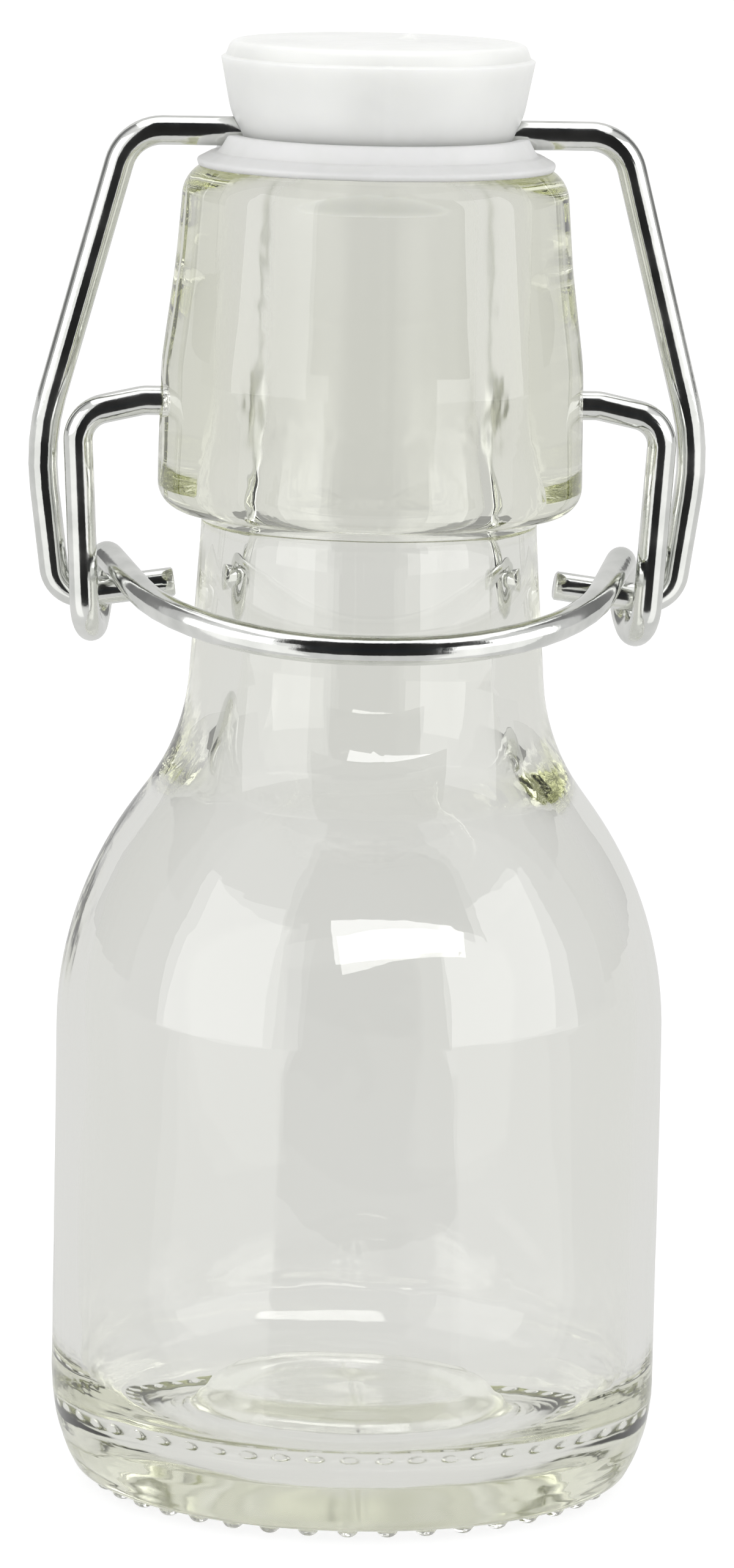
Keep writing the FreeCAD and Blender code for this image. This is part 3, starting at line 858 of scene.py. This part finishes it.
# Flat glows just under the bottle. They share the floor's place, so each lies at its own depth.
# name: (corners, share of the floor's drop, colour, strength)
FRONT_WEDGE = [(-0.8, -1.4), (0.75, -1.4), (0.08, -0.13), (-0.08, -0.13)]
TABLES = {
    "table_glow": (
        [(-0.7, -0.30), (0.7, -0.20), (2.0, 0.2), (2.0, 2.0), (-2.0, 2.0), (-2.0, 0.2)],
        1 / 4, (1.00, 1.00, 0.99), 0.735,
    ),
    "table_left": (
        [(-0.03, -0.05), (-0.10, -0.02), (-2.0, -0.4), (-1.1, -1.7)],
        1 / 5, (1, 1, 0.985), 1.10,
    ),
    "table_right": (
        [(0.03, -0.05), (1.1, -1.7), (2.0, -0.4), (0.10, -0.02)],
        1 / 6, (1, 1, 0.985), 1.10,
    ),
    "dark_table": (FRONT_WEDGE, 1 / 7, (1, 1, 1), DARK),
    "dim_table": (FRONT_WEDGE, 1 / 8, (1, 1, 0.98), 0.42),
}


def make_camera():
    """A long lens from the front, turned a little about its own axis."""
    data = bpy.data.cameras.new("camera")
    data.lens = CAMERA_LENS
    data.sensor_width = 36.0
    camera = bpy.data.objects.new("camera", data)
    right = Vector((math.cos(CAMERA_AZIMUTH), math.sin(CAMERA_AZIMUTH), 0))
    back = Vector((math.sin(CAMERA_AZIMUTH), -math.cos(CAMERA_AZIMUTH), 0))
    camera.location = back * CAMERA_DISTANCE + Vector((0, 0, CAMERA_HEIGHT))
    aim = right * AIM_SIDE + Vector((0, 0, AIM_HEIGHT))
    look = (aim - camera.location).to_track_quat("-Z", "Y").to_matrix().to_4x4()
    turn = look @ Matrix.Rotation(CAMERA_ROLL, 4, "Z")
    camera.matrix_world = Matrix.Translation(camera.location) @ turn
    bpy.context.scene.collection.objects.link(camera)
    bpy.context.scene.camera = camera


def polar(azimuth, elevation, distance, height):
    """The point seen in a direction (in radians) from the bottle's axis at a height."""
    return (
        distance * math.cos(elevation) * math.sin(azimuth),
        -distance * math.cos(elevation) * math.cos(azimuth),
        distance * math.sin(elevation) + height,
    )


def emission_material(name, colour, strength):
    """A plain glow."""
    material = bpy.data.materials.new(name)
    material.use_nodes = True
    nodes = material.node_tree.nodes
    nodes.clear()
    glow = nodes.new("ShaderNodeEmission")
    glow.inputs["Color"].default_value = (*colour, 1)
    glow.inputs["Strength"].default_value = strength
    output = nodes.new("ShaderNodeOutputMaterial")
    material.node_tree.links.new(glow.outputs["Emission"], output.inputs["Surface"])
    return material


def make_card(name, vertices, faces, colour, strength):
    """A card that the camera doesn't see. Dark ones show only in mirrors, dim ones only through glass."""
    mesh = bpy.data.meshes.new(name)
    mesh.from_pydata(vertices, [], faces)
    mesh.materials.append(emission_material(name, colour, strength))
    card = bpy.data.objects.new(name, mesh)
    bpy.context.scene.collection.objects.link(card)
    card.visible_camera = False
    card.visible_shadow = False
    card.visible_diffuse = False
    card.visible_transmission = not name.startswith("dark")
    card.visible_glossy = not name.startswith("dim")
    return card


def make_patch(name, left, right, bottom, top, distance, colour, strength):
    """Part of a sphere round the bottle, between two azimuths and two elevations in degrees."""
    columns = max(2, math.ceil((right - left) / 6))
    rows = max(2, math.ceil((top - bottom) / 6))
    azimuths = np.radians(np.linspace(left, right, columns + 1))
    elevations = np.radians(np.linspace(bottom, top, rows + 1))
    vertices = [
        polar(azimuth, elevation, distance, PATCH_HEIGHT)
        for elevation in elevations
        for azimuth in azimuths
    ]
    faces = []
    for row in range(rows):
        for column in range(columns):
            first = row * (columns + 1) + column
            faces.append((first, first + 1, first + columns + 2, first + columns + 1))
    make_card(name, vertices, faces, colour, strength)


def make_table(name, corners, share, colour, strength):
    """A flat glow between the bottle's foot and the floor."""
    vertices = [(x, y, -FLOOR_DROP * share) for x, y in corners]
    make_card(name, vertices, [tuple(range(len(corners)))], colour, strength)


def make_shade():
    """A black card that keeps the soft box off the neck and the collar, and out of their mirrors."""
    left, right, front, bottom, top = -0.060, 0.090, -0.085, 0.101, 0.200
    corners = [(left, front, bottom), (right, front, bottom), (right, front, top), (left, front, top)]
    shade = make_card("dark_shade", corners, [(0, 1, 2, 3)], (1, 1, 1), DARK)
    shade.visible_shadow = True
    shade.visible_transmission = True


def light_only(lamp, pieces):
    """Put the lamp in the scene and let it light these pieces alone."""
    bpy.context.scene.collection.objects.link(lamp)
    receivers = bpy.data.collections.new(lamp.name + "_receivers")
    for piece in pieces:
        receivers.objects.link(piece)
    lamp.light_linking.receiver_collection = receivers


def make_soft_box(bottle):
    """A long soft box in front of the shoulder that only lights the glass."""
    data = bpy.data.lights.new("soft_box", "AREA")
    data.shape = "RECTANGLE"
    data.size = 0.46
    data.size_y = 0.15
    data.energy = 1.5
    lamp = bpy.data.objects.new("soft_box", data)
    lamp.location = polar(math.radians(13), math.radians(34), 0.5, SOFT_BOX_HEIGHT)
    aim = Vector((0, 0, SOFT_BOX_HEIGHT)) - lamp.location
    lamp.rotation_euler = aim.to_track_quat("-Z", "Y").to_euler()
    light_only(lamp, [bottle])


def make_top_light(pieces):
    """A wide light above that only the plastic and the wires see."""
    data = bpy.data.lights.new("top_light", "AREA")
    data.size = 1.2
    data.energy = 5.0
    lamp = bpy.data.objects.new("top_light", data)
    lamp.location = (0, 0, 1.1)
    light_only(lamp, pieces)


def make_bore_light(pieces):
    """Stands for the light that the clear neck lets in to the underside of the closure."""
    data = bpy.data.lights.new("bore_light", "POINT")
    data.shadow_soft_size = 0.004
    data.energy = 0.018
    lamp = bpy.data.objects.new("bore_light", data)
    lamp.location = (0, 0, 0.084)
    lamp.visible_camera = lamp.visible_glossy = lamp.visible_transmission = False
    light_only(lamp, pieces)


def make_floor():
    """A matt floor that also glows a little, so that it stays white under the bottle."""
    bpy.ops.mesh.primitive_plane_add(size=6, location=(0, 0, -FLOOR_DROP))
    floor = bpy.context.object
    floor.name = "floor"
    material, _, _, shader = new_material("white_floor")
    shader.inputs["Base Color"].default_value = (0.3, 0.3, 0.3, 1)
    shader.inputs["Roughness"].default_value = 0.9
    shader.inputs["Emission Color"].default_value = (1, 1, 1, 1)
    shader.inputs["Emission Strength"].default_value = 0.78
    floor.data.materials.append(material)


def make_world():
    """White surroundings, plain tones, and enough bounces for the thick glass."""
    world = bpy.data.worlds.new("studio")
    world.use_nodes = True
    background = world.node_tree.nodes["Background"]
    background.inputs["Color"].default_value = (1, 1, 1, 1)
    background.inputs["Strength"].default_value = 1.02
    bpy.context.scene.world = world
    bpy.context.scene.view_settings.view_transform = "Standard"
    paths = bpy.context.scene.cycles
    paths.max_bounces, paths.glossy_bounces, paths.transmission_bounces = 32, 24, 24


def make_studio(pieces):
    """Floor, cards, lamps and camera round the pieces, which come in the order of assemble()."""
    bottle, stopper, seal, bail, lever = pieces
    make_world()
    make_floor()
    for name, table in TABLES.items():
        make_table(name, *table)
    for name, patch in PATCHES.items():
        make_patch(name, *patch)
    make_soft_box(bottle)
    make_top_light([stopper, bail, lever])
    make_bore_light([stopper, seal])
    make_shade()
    make_camera()


# ---------------------------------------------------------------- assembly

def assemble():
    """Build every piece, and put each in the place of its CAD solid on the body it rides with."""
    glass = glass_material()
    plastic = stopper_material()
    rubber = seal_material()
    steel = wire_material()
    pieces = [
        (make_bottle(glass), "bottle", "glass_bottle", "bottle_glass"),
        (make_stopper(plastic), "closure", "stopper", "stopper_plastic"),
        (make_seal(rubber), "closure", "seal_ring", "seal_rubber"),
        (make_wire("bail", bail_half(), steel), "bail", "bail_wire", "wire_steel"),
        (make_wire("lever", lever_half(), steel), "lever", "lever_wire", "wire_steel"),
    ]
    for piece, body, node, slot in pieces:
        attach(piece, body)
        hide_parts(node)
    return [piece for piece, _, _, _ in pieces]


make_studio(assemble())
